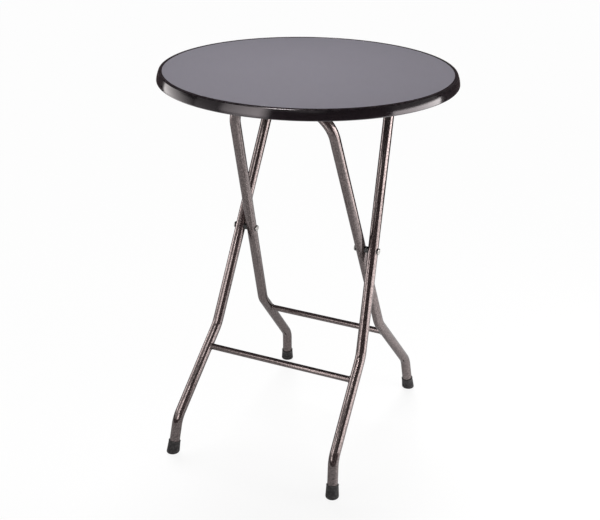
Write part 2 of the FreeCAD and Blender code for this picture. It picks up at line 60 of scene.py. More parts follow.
# Top and rim
TOP_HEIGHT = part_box("surface_laminate")[1].z
SURFACE_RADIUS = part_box("surface_laminate")[1].x
RIM_WIDTH = 0.017
RIM_RADIUS = SURFACE_RADIUS + RIM_WIDTH
RIM_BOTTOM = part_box("edge_rim")[0].z
RIM_JOINT = 0.0001  # gap between the board and the rim
RIM_DRAFT = 0.0075  # how far the wall draws in towards the top
RIM_BULGE = 0.0009
RIM_TOP_ROUND = 0.005
RIM_BOTTOM_ROUND = 0.0035
RIM_CROWN = 0.0009  # height of the crest above the surface
RIM_CROWN_ROUND = 0.0012
RIM_INNER_ROUND = 0.0004
RIM_BEND_STEP = math.radians(8)
TONGUE_DEPTH = 0.010
TONGUE_THICKNESS = 0.004
RIM_STEPS = 360
RIM_WALL_STEPS = 12

# Frames: the bends' places, angles and radii on the tube's middle line
BAR = Vector(JOINTS["leg_swing"]["pos_m"])
PIVOT = Vector(JOINTS["leg_fold"]["pos_m"])
TUBE_RADIUS = 0.015
KNEE_HEIGHT = 0.324
ANKLE_HEIGHT = 0.107
SHIN_LEAN = math.radians(44)
LEG_SPREAD = math.radians(4.2)
CORNER_RADIUS = 0.110
KNEE_RADIUS = 0.080
ANKLE_RADIUS = 0.070
TUBE_SIDES = 48
BEND_STEP = math.radians(3)
FRAMES = {
    "outer": {"facing": 1, "feet": "front", "body": "outer_frame"},
    "inner": {"facing": -1, "feet": "back", "body": "inner_frame"},
}

# Crossbars and the welds at their ends
CROSSBAR_RADIUS = 0.009
CROSSBAR_HEIGHT = sum(corner.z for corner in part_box("outer_crossbar")) / 2
WELD_RADIUS = 0.0018
WELD_RIPPLE = 0.16  # share of the bead's radius
WELD_RIPPLES = 22
WELD_STEPS = 132
WELD_SIDES = 10

# Foot caps
FOOT_SOLE = 0.008
FOOT_HEIGHT = 0.038
FOOT_MOUTH_RADIUS = 0.0170
FOOT_BASE_RADIUS = 0.0192
FOOT_LIP = 0.0007
FOOT_LIP_HEIGHT = 0.004
FOOT_LIP_STEPS = 6
FOOT_GROOVE = 0.0005
FOOT_GROOVE_HEIGHTS = (0.0125, 0.016, 0.0195)
FOOT_GROOVE_WIDTH = 0.0014
FOOT_SCUFF_HEIGHT = 0.005
FOOT_EDGE_ROUND = 0.005
FOOT_EDGE_STEPS = 8
FOOT_EDGE_SHAPE = 0.5  # a quarter circle
FOOT_SHARP_EDGE = 50
FOOT_STEPS = 72

# Screws under the top
SCREW_HEAD_RADIUS = 0.004
SCREW_HEAD_HEIGHT = 0.0026
SCREW_HEAD_ROUND = 0.0016
SCREW_HEAD_STEPS = 6
SCREW_RADIUS = 0.002
SCREW_TIP = 0.004
SCREW_STEPS = 40
SCREW_SHARP_EDGE = 35
SCREW_TURN = 0.5  # how much further each recess is turned than the one before, in radians
ONE_ROW_DEPTH = 3 * SCREW_HEAD_RADIUS  # a node's box that is deeper than this holds two rows of screws
RECESS_REACH = 0.0023
RECESS_FLARE = 1.6  # reach of the cutting tool outside the head, as a share of its reach at the head's face
RECESS_TIP = 0.4  # the same at the bottom of the recess
RECESS_HALF_WIDTH = 0.00045
RECESS_DEPTH = 0.0015

# Camera, from the photograph's fitted view, with lens and sensor in millimetres
CAMERA_PLACE = Vector((1.3456, -2.8746, 1.8773))
CAMERA_YAW = math.radians(25.343)
CAMERA_PITCH = math.radians(22.949)
CAMERA_ROLL = math.radians(0.940)
CAMERA_LENS = 70.846
CAMERA_SENSOR = 36


# Node helpers

NOISE_RANGE = (0.3, 0.7)  # where most values of a noise lie
PATCH_RANGE = (0.4, 0.65)  # from no wear to full wear in the noise that makes its patches


def connect(tree, value, socket):
    """Link a socket to another one, or set it to a value."""
    if isinstance(value, bpy.types.NodeSocket):
        tree.links.new(value, socket)
    else:
        socket.default_value = value


def add(tree, kind, settings=None, **inputs):
    """Node with its settings, and with its inputs set to values or linked to sockets."""
    made = tree.nodes.new(kind)
    for name, value in (settings or {}).items():
        setattr(made, name, value)
    for name, value in inputs.items():
        connect(tree, value, made.inputs[name.replace("_", " ")])
    return made


def new_material(name, **values):
    """Material with one principled shader, whose constant values are set on its sockets."""
    material = bpy.data.materials.new(name)
    material.use_nodes = True
    shader = material.node_tree.nodes["Principled BSDF"]
    for socket, value in values.items():
        shader.inputs[socket.replace("_", " ")].default_value = value
    return material, material.node_tree, shader


def empty_material(name):
    """Material with no nodes yet."""
    material = bpy.data.materials.new(name)
    material.use_nodes = True
    material.node_tree.nodes.clear()
    return material, material.node_tree


def place_of(tree):
    """Coordinates of the piece itself, in metres."""
    return add(tree, "ShaderNodeTexCoord").outputs["Object"]


def stretched(tree, place, scales):
    """Coordinates with a scale of their own along each axis, in cells a metre."""
    return add(tree, "ShaderNodeMapping", Vector=place, Scale=scales).outputs[0]


def noise(tree, place, scale, detail=2.0):
    """Noise value, with its scale in cells a metre."""
    return add(tree, "ShaderNodeTexNoise", Vector=place, Scale=scale, Detail=detail).outputs["Fac"]


def cells(tree, place, scale, smoothness):
    """Distance to the nearest of scattered points, in round cells."""
    settings = {"feature": "SMOOTH_F1"}
    made = add(tree, "ShaderNodeTexVoronoi", settings, Vector=place, Scale=scale, Smoothness=smoothness)
    return made.outputs["Distance"]


def spread(tree, value, between, to=(0.0, 1.0)):
    """Value stretched from one range to another."""
    made = add(tree, "ShaderNodeMapRange", Value=value, From_Min=between[0], From_Max=between[1],
               To_Min=to[0], To_Max=to[1])
    return made.outputs["Result"]


def mix(tree, share, first, second):
    """Colour between two colours, each a socket or three values."""
    made = add(tree, "ShaderNodeMix", {"data_type": "RGBA"}, Factor=share)
    for name, value in (("A", first), ("B", second)):
        socket = [entry for entry in made.inputs if entry.name == name and entry.type == "RGBA"][0]
        if not isinstance(value, bpy.types.NodeSocket):
            value = (*value, 1)
        connect(tree, value, socket)
    return [entry for entry in made.outputs if entry.type == "RGBA"][0]


def math_node(tree, operation, *values):
    """Result of one step of arithmetic on values or sockets."""
    made = add(tree, "ShaderNodeMath", {"operation": operation})
    for socket, value in zip(made.inputs, values):
        connect(tree, value, socket)
    return made.outputs[0]


def worn(tree, place, clean, rubbed, scale):
    """Share of wear, in patches, from a clean height to a rubbed one."""
    height = add(tree, "ShaderNodeSeparateXYZ", Vector=place).outputs["Z"]
    patches = spread(tree, noise(tree, place, scale, detail=3.0), PATCH_RANGE)
    return math_node(tree, "MULTIPLY", spread(tree, height, (clean, rubbed)), patches)


def bump(tree, shader, height, depth, strength):
    """Relief of the given depth in metres."""
    made = add(tree, "ShaderNodeBump", Height=height, Distance=depth, Strength=strength)
    tree.links.new(made.outputs["Normal"], shader.inputs["Normal"])


def feed(tree, shader, **sockets):
    """Link sockets to a shader's inputs."""
    for name, socket in sockets.items():
        tree.links.new(socket, shader.inputs[name.replace("_", " ")])


def kinds_of_ray(tree):
    """Whether a ray comes from the camera, and whether it was mirrored or went through glass."""
    rays = add(tree, "ShaderNodeLightPath").outputs
    mirrored = math_node(tree, "MAXIMUM", rays["Is Glossy Ray"], rays["Is Transmission Ray"])
    return rays["Is Camera Ray"], mirrored


# Materials

def hammered_enamel():
    """Bronze-grey metallic enamel with small round dimples."""
    bright = (0.268, 0.219, 0.214)
    dark = (0.09, 0.073, 0.072)
    cloudy = (0.178, 0.145, 0.142)
    edge_tint = (0.35, 0.33, 0.33, 1)
    flake_weight = 0.6
    material, tree, shader = new_material("hammered_enamel", Metallic=0.85, Specular_Tint=edge_tint,
                                          Coat_Weight=0.6, Coat_Roughness=0.06)
    place = place_of(tree)
    dimples = cells(tree, place, scale=320, smoothness=0.6)
    flakes = noise(tree, place, scale=2600, detail=1.0)
    clouds = noise(tree, place, scale=45, detail=3.0)
    vein = spread(tree, dimples, (0.25, 0.75))
    tone = math_node(tree, "MULTIPLY_ADD", flakes, flake_weight, vein)
    base = mix(tree, spread(tree, tone, (0.2, 1.1)), bright, dark)
    colour = mix(tree, spread(tree, clouds, NOISE_RANGE, to=(0.0, 0.25)), base, cloudy)
    feed(tree, shader, Base_Color=colour, Roughness=spread(tree, flakes, NOISE_RANGE, to=(0.1, 0.18)))
    bump(tree, shader, dimples, depth=0.0004, strength=0.06)
    return material


def grey_laminate():
    """Fine-grained grey laminate with a soft sheen."""
    dark = (0.216, 0.208, 0.241)
    pale = (0.264, 0.254, 0.294)
    cloudy = (0.234, 0.222, 0.252)
    material, tree, shader = new_material("grey_laminate", IOR=1.5)
    place = place_of(tree)
    grain = noise(tree, place, scale=1500)
    clouds = noise(tree, place, scale=14, detail=3.0)
    base = mix(tree, spread(tree, grain, (0.32, 0.68)), dark, pale)
    colour = mix(tree, spread(tree, clouds, NOISE_RANGE, to=(0.0, 0.3)), base, cloudy)
    feed(tree, shader, Base_Color=colour, Roughness=spread(tree, grain, NOISE_RANGE, to=(0.42, 0.52)))
    bump(tree, shader, grain, depth=0.0001, strength=0.3)
    return material


def black_rim():
    """Glossy black moulding with a faint waviness, rubbed dull in patches along its crest."""
    black = (0.0115, 0.009, 0.0115)
    dusty = (0.0185, 0.0145, 0.0178)
    dull = (0.034, 0.03, 0.033)
    gloss_tint = (1, 0.94, 0.98, 1)
    dulling = 0.1  # roughness that full wear adds
    material, tree, shader = new_material("black_rim", IOR=1.55, Specular_Tint=gloss_tint)
    place = place_of(tree)
    waves = noise(tree, place, scale=220)
    dust = noise(tree, place, scale=1800)
    clean = mix(tree, spread(tree, dust, (0.35, 0.75)), black, dusty)
    rubbed = worn(tree, place, TOP_HEIGHT - RIM_TOP_ROUND, TOP_HEIGHT + RIM_CROWN, scale=70)
    polish = spread(tree, dust, NOISE_RANGE, to=(0.1, 0.16))
    roughness = math_node(tree, "MULTIPLY_ADD", rubbed, dulling, polish)
    feed(tree, shader, Base_Color=mix(tree, rubbed, clean, dull), Roughness=roughness)
    bump(tree, shader, waves, depth=0.0002, strength=0.15)
    return material


def black_rubber():
    """Matte rubber with a moulded grain and a paler bloom, scuffed at the floor."""
    black = (0.019, 0.0181, 0.0187)
    grey = (0.034, 0.0324, 0.0333)
    pale = (0.072, 0.069, 0.0706)
    scuff = (0.095, 0.09, 0.086)
    material, tree, shader = new_material("black_rubber", Specular_IOR_Level=0.3)
    place = place_of(tree)
    grain = noise(tree, place, scale=1300, detail=3.0)
    bloom = noise(tree, place, scale=140, detail=4.0)
    base = mix(tree, spread(tree, grain, NOISE_RANGE), black, grey)
    bloomed = mix(tree, spread(tree, bloom, (0.42, 0.68), to=(0.0, 0.7)), base, pale)
    scuffed = worn(tree, place, FOOT_SCUFF_HEIGHT, 0, scale=240)
    feed(tree, shader, Base_Color=mix(tree, scuffed, bloomed, scuff),
         Roughness=spread(tree, bloom, NOISE_RANGE, to=(0.55, 0.75)))
    bump(tree, shader, grain, depth=0.0002, strength=0.5)
    return material


def zinc_steel():
    """Zinc-plated steel with faint streaks and spangle."""
    dark = (0.36, 0.35, 0.34)
    pale = (0.5, 0.49, 0.47)
    spangled = (0.32, 0.32, 0.31)
    material, tree, shader = new_material("zinc_steel", Metallic=1.0)
    place = place_of(tree)
    streaks = noise(tree, stretched(tree, place, (120, 1600, 1600)), scale=1.0)
    spangle = cells(tree, place, scale=240, smoothness=0.1)
    base = mix(tree, spread(tree, streaks, NOISE_RANGE), dark, pale)
    colour = mix(tree, spread(tree, spangle, (0.1, 0.8), to=(0.0, 0.3)), base, spangled)
    feed(tree, shader, Base_Color=colour, Roughness=spread(tree, streaks, NOISE_RANGE, to=(0.3, 0.46)))
    bump(tree, shader, streaks, depth=0.00005, strength=0.3)
    return material


def dark_backing():
    """Dark balancing sheet with a fine cross grain."""
    black = (0.022, 0.021, 0.022)
    grey = (0.036, 0.034, 0.035)
    speck = (0.07, 0.066, 0.064)
    material, tree, shader = new_material("dark_backing", Specular_IOR_Level=0.4)
    place = place_of(tree)
    fibres = noise(tree, stretched(tree, place, (60, 700, 700)), scale=1.0, detail=4.0)
    specks = noise(tree, place, scale=900)
    base = mix(tree, spread(tree, fibres, NOISE_RANGE), black, grey)
    colour = mix(tree, spread(tree, specks, (0.62, 0.75), to=(0.0, 0.5)), base, speck)
    feed(tree, shader, Base_Color=colour, Roughness=spread(tree, fibres, NOISE_RANGE, to=(0.5, 0.64)))
    bump(tree, shader, fibres, depth=0.0001, strength=0.4)
    return material


def particle_board():
    """Raw particle board of pressed chips."""
    chip = (0.50, 0.36, 0.22)
    joint = (0.30, 0.20, 0.11)
    dusty = (0.58, 0.45, 0.30)
    material, tree, shader = new_material("particle_board", Roughness=0.85)
    place = place_of(tree)
    chips = cells(tree, stretched(tree, place, (160, 260, 420)), scale=1.0, smoothness=0.2)
    dust = noise(tree, place, scale=600, detail=3.0)
    base = mix(tree, spread(tree, chips, (0.1, 0.8)), chip, joint)
    colour = mix(tree, spread(tree, dust, (0.4, 0.7), to=(0.0, 0.4)), base, dusty)
    feed(tree, shader, Base_Color=colour)
    bump(tree, shader, chips, depth=0.0004, strength=0.6)
    return material


def nylon():
    """Black moulded nylon with a satin finish."""
    black = (0.018, 0.018, 0.019)
    grey = (0.034, 0.034, 0.035)
    material, tree, shader = new_material("nylon", Specular_IOR_Level=0.45)
    grain = noise(tree, place_of(tree), scale=1100)
    feed(tree, shader, Base_Color=mix(tree, grain, black, grey),
         Roughness=spread(tree, grain, NOISE_RANGE, to=(0.34, 0.5)))
    bump(tree, shader, grain, depth=0.0001, strength=0.3)
    return material


MATERIALS = {
    "bronze_enamel": hammered_enamel(),
    "grey_laminate": grey_laminate(),
    "black_rim": black_rim(),
    "black_rubber": black_rubber(),
    "zinc_steel": zinc_steel(),
    "dark_backing": dark_backing(),
    "board": particle_board(),
    "nylon": nylon(),
}


# Mesh helpers

def add_object(name, data):
    """Object with the given data, linked into the scene."""
    made = bpy.data.objects.new(name, data)
    bpy.context.scene.collection.objects.link(made)
    return made


def mesh_of(made, name):
    """Mesh from one under construction, which is used up."""
    mesh = bpy.data.meshes.new(name)
    made.to_mesh(mesh)
    made.free()
    return mesh


def angles(count):
    """Evenly spaced angles, once round."""
    return [2 * math.pi * step / count for step in range(count)]


def arc(centre, radius, start, stop, steps):
    """Points of an arc in a profile, as (radius, height); angles in degrees."""
    points = []
    for step in range(steps + 1):
        angle = math.radians(start + (stop - start) * step / steps)
        points.append((centre[0] + radius * math.cos(angle), centre[1] + radius * math.sin(angle)))
    return points


def join_rings(made, rings, closed=False):
    """Faces between rings of points; a ring that is one point on the axis gets triangles."""
    pairs = list(zip(rings, rings[1:]))
    if closed:
        pairs.append((rings[-1], rings[0]))
    for first, second in pairs:
        for step in range(len(first)):
            after = (step + 1) % len(first)
            corners = []
            for corner in (first[step], first[after], second[after], second[step]):
                if corner not in corners:
                    corners.append(corner)
            made.faces.new(corners)


def turned(profile, steps, closed=False):
    """Mesh turned about Z from (radius, height) points.

    A closed profile makes a ring, and an open one starts and ends on the axis.
    """
    made = bmesh.new()
    rings = []
    for radius, height in profile:
        if radius == 0:
            rings.append([made.verts.new((0, 0, height))] * steps)
            continue
        ring = []
        for angle in angles(steps):
            ring.append(made.verts.new((radius * math.cos(angle), radius * math.sin(angle), height)))
        rings.append(ring)
    join_rings(made, rings, closed)
    return made


def bent_path(points, radii, bend_step=BEND_STEP):
    """Points of straight runs with an arc of its own radius at each inner point."""
    path = [points[0]]
    for before, corner, after, radius in zip(points, points[1:], points[2:], radii):
        back = (before - corner).normalized()
        onward = (after - corner).normalized()
        half_turn = (math.pi - back.angle(onward)) / 2
        inward = (back + onward).normalized()
        middle = corner + inward * radius / math.cos(half_turn)
        start = corner + back * radius * math.tan(half_turn) - middle
        axis = back.cross(onward)
        steps = math.ceil(2 * half_turn / bend_step)
        for step in range(steps + 1):
            turn = Matrix.Rotation(-2 * half_turn * step / steps, 3, axis)
            path.append(middle + turn @ start)
    path.append(points[-1])
    return path


def swept(path, radii, sides, closed=False):
    """Round tube along a path, with a radius at each point."""
    made = bmesh.new()
    count = len(path)
    rings = []
    across = None
    for index, (point, radius) in enumerate(zip(path, radii)):
        before = path[index - 1] if index or closed else point
        after = path[(index + 1) % count] if index < count - 1 or closed else point
        along = (after - before).normalized()
        if across is None:
            across = along.orthogonal()
        across = (across - along * across.dot(along)).normalized()
        beside = along.cross(across)
        ring = []
        for angle in angles(sides):
            out = math.cos(angle) * across + math.sin(angle) * beside
            ring.append(made.verts.new(point + radius * out))
        rings.append(ring)
    join_rings(made, rings, closed)
    if not closed:
        made.faces.new(rings[0])
        made.faces.new(rings[-1])
    return made


def finish_piece(made, name, slot, body, replaced=(), sharp=SHARP_EDGE):
    """Turn a mesh under construction into a piece that rides on a body."""
    bmesh.ops.recalc_face_normals(made, faces=made.faces)
    mesh = mesh_of(made, name)
    mesh.shade_smooth()
    mesh.set_sharp_from_angle(angle=math.radians(sharp))
    mesh.materials.append(MATERIALS[slot])
    piece = add_object(name, mesh)
    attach(piece, body)
    if replaced:
        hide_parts(*replaced)


# Rim

def bulged(profile):
    """Profile whose longest run, the rim's wall, is bowed outwards in a parabola."""
    runs = list(zip(profile, profile[1:]))
    longest = max(runs, key=lambda run: math.dist(*run))
    (first_radius, first_height), (last_radius, last_height) = longest
    bowed = []
    for start, stop in runs:
        bowed.append(start)
        if (start, stop) != longest:
            continue
        for step in range(1, RIM_WALL_STEPS):
            share = step / RIM_WALL_STEPS
            bow = RIM_BULGE * 4 * share * (1 - share)
            radius = first_radius + (last_radius - first_radius) * share + bow
            bowed.append((radius, first_height + (last_height - first_height) * share))
    bowed.append(profile[-1])
    return bowed


def build_rim():
    """Rim whose slightly bulged wall draws in towards the top, with a tongue in the board's groove."""
    inner = SURFACE_RADIUS + RIM_JOINT
    middle = sum(corner.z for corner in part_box("core_board")) / 2
    tongue_tip = SURFACE_RADIUS - TONGUE_DEPTH
    low = middle - TONGUE_THICKNESS / 2
    high = middle + TONGUE_THICKNESS / 2
    crest = RIM_RADIUS - RIM_DRAFT
    crown = TOP_HEIGHT + RIM_CROWN
    outline = [(inner, high), (inner, crown), (crest, crown), (RIM_RADIUS, RIM_BOTTOM),
               (inner, RIM_BOTTOM), (inner, low)]
    rounds = (RIM_CROWN_ROUND, RIM_TOP_ROUND, RIM_BOTTOM_ROUND, RIM_INNER_ROUND)
    path = bent_path([Vector((radius, 0, height)) for radius, height in outline], rounds, RIM_BEND_STEP)
    profile = bulged([(point.x, point.z) for point in path])
    profile += [(tongue_tip, low), (tongue_tip, high)]
    made = turned(profile, RIM_STEPS, closed=True)
    finish_piece(made, "rim_moulding", "black_rim", "tabletop", ["edge_rim"])


# Frames

def foot_point(name, side_name):
    """Middle of a foot's sole."""
    return Vector(MOUNTS[f"{FRAMES[name]['feet']}_{side_name}_foot"]["pos_m"])


def leg_point(name, side_name, height):
    """Point on the middle line of a leg, before its corners are bent round."""
    facing = FRAMES[name]["facing"]
    foot = foot_point(name, side_name)
    lean = (BAR.y - PIVOT.y) / (BAR.z - PIVOT.z)
    knee = lean * (KNEE_HEIGHT - PIVOT.z)
    ankle = knee - math.tan(SHIN_LEAN) * (KNEE_HEIGHT - ANKLE_HEIGHT)
    if height >= KNEE_HEIGHT:
        back = lean * (height - PIVOT.z)
    elif height >= ANKLE_HEIGHT:
        back = knee - math.tan(SHIN_LEAN) * (KNEE_HEIGHT - height)
    else:
        sole = foot.y * facing
        back = sole + (ankle - sole) * height / ANKLE_HEIGHT
    across = foot.x - SIDES[side_name] * math.tan(LEG_SPREAD) * height
    return Vector((across, facing * back, height))


def build_tube(name):
    """Bent tube of a frame, from foot to foot over the top bar."""
    heights = (FOOT_SOLE, ANKLE_HEIGHT, KNEE_HEIGHT, BAR.z)
    bends = (ANKLE_RADIUS, KNEE_RADIUS, CORNER_RADIUS)
    points = [leg_point(name, "left", height) for height in heights]
    points += [leg_point(name, "right", height) for height in reversed(heights)]
    path = bent_path(points, bends + bends[::-1])
    made = swept(path, [TUBE_RADIUS] * len(path), TUBE_SIDES)
    finish_piece(made, f"{name}_tube", "bronze_enamel", FRAMES[name]["body"], [f"{name}_frame_tube"])


def saddle(name, side_name):
    """Points where a crossbar's surface meets a leg's, once round the crossbar."""
    middle = leg_point(name, side_name, CROSSBAR_HEIGHT)
    knee = leg_point(name, side_name, KNEE_HEIGHT)
    ankle = leg_point(name, side_name, ANKLE_HEIGHT)
    along = (knee - ankle).normalized()
    points = []
    for angle in angles(WELD_STEPS):
        spot = Vector((0, CROSSBAR_RADIUS * math.cos(angle), CROSSBAR_RADIUS * math.sin(angle)))
        # The place along X that lies a tube's radius away from the leg's middle line
        slope = spot.dot(along)
        square = 1 - along.x ** 2
        half = -along.x * slope
        rest = spot.length_squared - slope ** 2 - TUBE_RADIUS ** 2
        reach = math.sqrt(half ** 2 - square * rest)
        across = (-half - SIDES[side_name] * reach) / square
        points.append(middle + spot + X_AXIS * across)
    return points


def build_crossbar(name):
    """Crossbar between the shins, and the weld bead round each of its ends."""
    body = FRAMES[name]["body"]
    made = bmesh.new()
    rings = [[made.verts.new(point) for point in saddle(name, side_name)] for side_name in SIDES]
    join_rings(made, rings)
    for ring in rings:
        made.faces.new(ring)
    finish_piece(made, f"{name}_bar", "bronze_enamel", body, [f"{name}_crossbar"])
    radii = []
    for angle in angles(WELD_STEPS):
        radii.append(WELD_RADIUS * (1 + WELD_RIPPLE * math.sin(WELD_RIPPLES * angle)))
    for side_name in SIDES:
        bead = swept(saddle(name, side_name), radii, WELD_SIDES, closed=True)
        finish_piece(bead, f"{name}_weld_{side_name}", "bronze_enamel", body)


def foot_profile():
    """Outline of a foot cap: a flared wall with a lip at its mouth and shallow grip grooves."""
    def wall(height):
        """Radius of the flared wall."""
        return FOOT_BASE_RADIUS + (FOOT_MOUTH_RADIUS - FOOT_BASE_RADIUS) * height / FOOT_HEIGHT

    below = -FOOT_MOUTH_RADIUS
    profile = [(0, below), (wall(below), below)]
    half = FOOT_GROOVE_WIDTH / 2
    for height in FOOT_GROOVE_HEIGHTS:
        profile += [
            (wall(height - half), height - half),
            (wall(height) - FOOT_GROOVE, height - half / 2),
            (wall(height) - FOOT_GROOVE, height + half / 2),
            (wall(height + half), height + half),
        ]
    lip_foot = FOOT_HEIGHT - FOOT_LIP_HEIGHT
    profile.append((wall(lip_foot), lip_foot))
    lip_middle = (FOOT_MOUTH_RADIUS - FOOT_LIP, FOOT_HEIGHT - 2 * FOOT_LIP)
    profile += arc(lip_middle, 2 * FOOT_LIP, 0, 90, FOOT_LIP_STEPS)
    profile += [(TUBE_RADIUS, FOOT_HEIGHT), (TUBE_RADIUS, FOOT_SOLE), (0, FOOT_SOLE)]
    return profile


def build_foot(name, side_name):
    """Foot cap on the end of a leg, cut flat on the floor with a rounded edge."""
    foot = foot_point(name, side_name)
    along = leg_point(name, side_name, ANKLE_HEIGHT) - foot
    made = turned(foot_profile(), FOOT_STEPS)
    turn = Z_AXIS.rotation_difference(along).to_matrix().to_4x4()
    bmesh.ops.transform(made, matrix=Matrix.Translation(foot) @ turn, verts=made.verts)
    geometry = made.verts[:] + made.edges[:] + made.faces[:]
    parts = bmesh.ops.bisect_plane(made, geom=geometry, plane_co=(0, 0, 0), plane_no=Z_AXIS,
                                   clear_inner=True)
    rim = [entry for entry in parts["geom_cut"] if isinstance(entry, bmesh.types.BMEdge)]
    sole = bmesh.ops.contextual_create(made, geom=rim)["faces"]
    edges = [edge for face in sole for edge in face.edges]
    bmesh.ops.bevel(made, geom=edges, offset=FOOT_EDGE_ROUND, segments=FOOT_EDGE_STEPS,
                    profile=FOOT_EDGE_SHAPE, affect="EDGES")
    finish_piece(made, f"{name}_cap_{side_name}", "black_rubber", FRAMES[name]["body"],
                 [f"{name}_foot_{side_name}"], sharp=FOOT_SHARP_EDGE)


# Screws

def screw_mesh(length):
    """Pan-head screw, head down, before its recess is cut."""
    round_middle = (SCREW_HEAD_RADIUS - SCREW_HEAD_ROUND, SCREW_HEAD_ROUND)
    profile = [(0, 0)]
    profile += arc(round_middle, SCREW_HEAD_ROUND, -90, 0, SCREW_HEAD_STEPS)
    profile += [
        (SCREW_HEAD_RADIUS, SCREW_HEAD_HEIGHT),
        (SCREW_RADIUS, SCREW_HEAD_HEIGHT),
        (SCREW_RADIUS, length - SCREW_TIP),
        (0, length),
    ]
    return turned(profile, SCREW_STEPS)


def recess_mesh():
    """Cross-shaped tool that cuts the recess, narrower at its tip."""
    made = bmesh.new()
    for turn in (0, math.pi / 2):
        rings = []
        for height, flare in ((-RECESS_DEPTH, RECESS_FLARE), (RECESS_DEPTH, RECESS_TIP)):
            ring = []
            for x, y in SQUARE:
                spot = Vector((x * RECESS_REACH * flare, y * RECESS_HALF_WIDTH, height))
                ring.append(made.verts.new(Matrix.Rotation(turn, 3, "Z") @ spot))
            rings.append(ring)
        join_rings(made, rings)
        for ring in rings:
            made.faces.new(ring)
    return made


def cut_recess(made):
    """Screw with the cross recess cut out of its head."""
    objects = []
    for name, source in (("screw_blank", made), ("screw_recess", recess_mesh())):
        bmesh.ops.recalc_face_normals(source, faces=source.faces)
        objects.append(add_object(name, mesh_of(source, name)))
    blank, tool = objects
    cutter = blank.modifiers.new("recess", "BOOLEAN")
    cutter.operation = "DIFFERENCE"
    cutter.solver = "EXACT"
    cutter.use_self = True
    cutter.object = tool
    bpy.context.view_layer.update()
    result = bmesh.new()
    result.from_object(blank, bpy.context.evaluated_depsgraph_get())
    for entry in objects:
        bpy.data.objects.remove(entry)
    return result


def build_screws(node):
    """The screws of a node, at the corners of its box."""
    low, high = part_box(node)
    across = {low.x + SCREW_HEAD_RADIUS, high.x - SCREW_HEAD_RADIUS}
    back = {low.y + SCREW_HEAD_RADIUS}
    if high.y - low.y > ONE_ROW_DEPTH:
        back.add(high.y - SCREW_HEAD_RADIUS)
    places = sorted((x, y) for x in across for y in back)
    mesh = mesh_of(cut_recess(screw_mesh(high.z - low.z)), f"{node}_single")
    made = bmesh.new()
    for number, (x, y) in enumerate(places):
        start = len(made.verts)
        made.from_mesh(mesh)
        made.verts.ensure_lookup_table()
        place = Matrix.Translation((x, y, low.z)) @ Matrix.Rotation(SCREW_TURN * number, 4, "Z")
        bmesh.ops.transform(made, matrix=place, verts=made.verts[start:])
    bpy.data.meshes.remove(mesh)
    finish_piece(made, f"{node}_crossed", "zinc_steel", "tabletop", [node], sharp=SCREW_SHARP_EDGE)


# Finish of the nodes that keep their shape

def dress_nodes():
    """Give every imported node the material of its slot."""
    for entry in frame["record"]["subparts"]:
        node = frame["nodes"][entry["node"]]
        for slot in node.material_slots:
            slot.material = MATERIALS[entry["material_slot"]]


# Studio

WHITE = (1, 1, 1, 1)
FLOOR_HALF_WIDTH = 60
FLOOR_COLOUR = (0.97, 0.97, 0.97, 1)
FLOOR_GLOW = 0.88  # share of the floor's look that is a plain glow, and the rest takes the shadow
FLOOR_MIRRORED = (0.6, 1.5)  # glow in reflections, at the front and left and at the back right, where it makes a painted pool of light
FLOOR_MIRRORED_REACH = (0.12, 0.42)  # places along X between which it grows
FLOOR_MIRRORED_FRONT = 0.6  # along Y these places lie this much further to the front
SURROUND_RADIUS = 2.0
SURROUND_HEIGHT = 2.5
SURROUND_SIDES = 64
SURROUND_COLOUR = (0.1, 0.072, 0.076, 1)
WORLD_LIGHT = 0.13
SUN_STRENGTH = 2.8
SUN_ANGLE = math.radians(30)
SUN_FROM = (-0.28, 0.467, 0.839)

# Small lamps, with their power in watts
LAMPS = (
    {"name": "over_top", "place": (-0.09, 0.03, TOP_HEIGHT + 0.6), "target": (-0.09, 0.03, TOP_HEIGHT),
     "power": 0.95, "size": 0.3},
    {"name": "by_foot", "place": (0.74, -0.64, 0.15), "target": (0.26, -0.34, 0.02),
     "power": 1.3, "size": 0.25},
)

